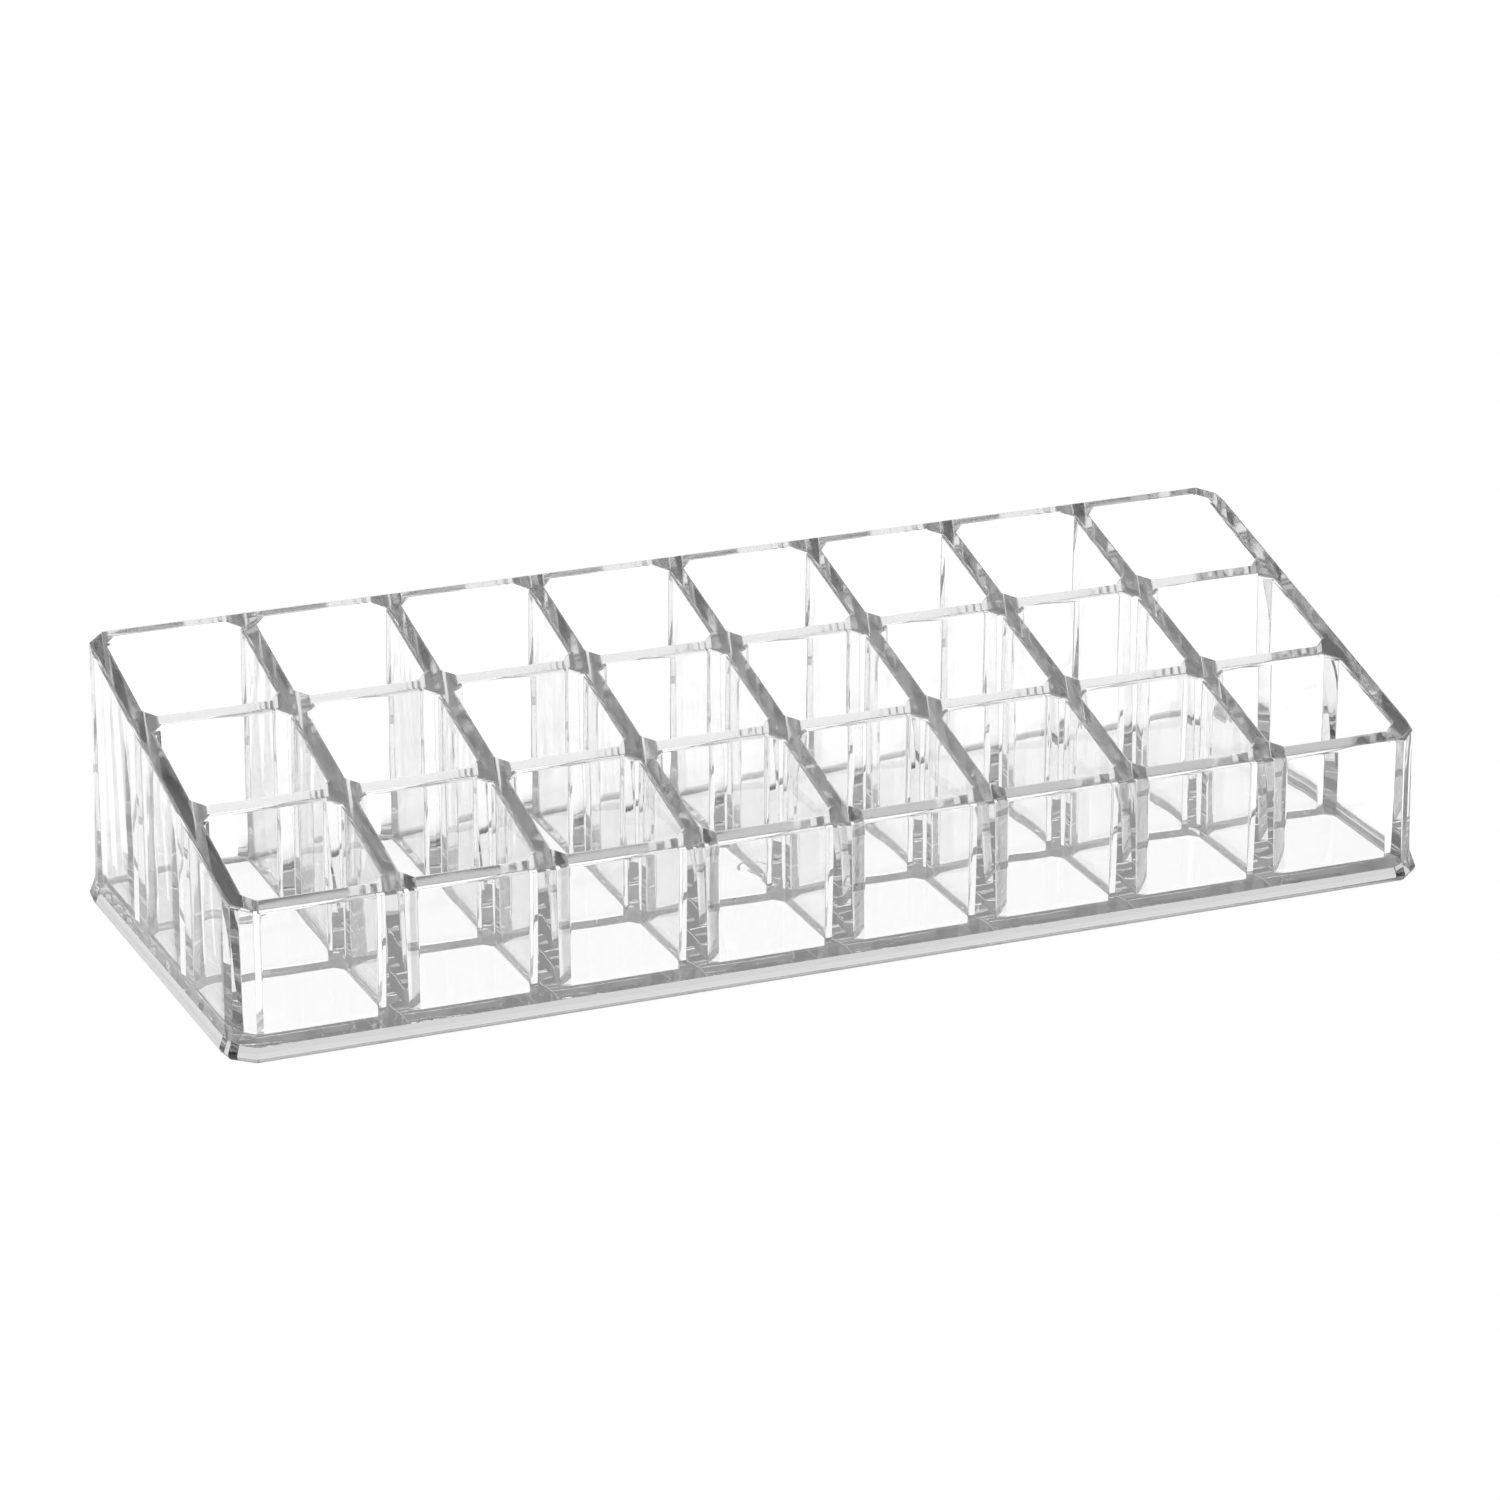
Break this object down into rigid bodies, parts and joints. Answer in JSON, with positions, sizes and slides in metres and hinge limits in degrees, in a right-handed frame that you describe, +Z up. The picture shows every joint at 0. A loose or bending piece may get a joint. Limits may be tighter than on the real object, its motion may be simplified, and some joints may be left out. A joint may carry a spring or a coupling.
{
  "type": "vanity organizer",
  "caption": "Clear moulded block of open square compartments with a rim that slopes down to the front, on a bevelled base frame, for lipsticks and small cosmetics.",
  "frame": {"origin": "middle of the base frame's underside", "axes": "+X along the rows of compartments, -Y towards the low front, +Z up"},
  "size_m": [0.229, 0.0894, 0.0505],
  "materials": {
    "clear_body": "polished clear polystyrene, as moulded",
    "clear_base": "polished clear polystyrene, bevelled edge"
  },
  "bodies": {
    "root": {"compartment_tray": "clear_body", "base_frame": "clear_base"}
  },
  "joints": []
}
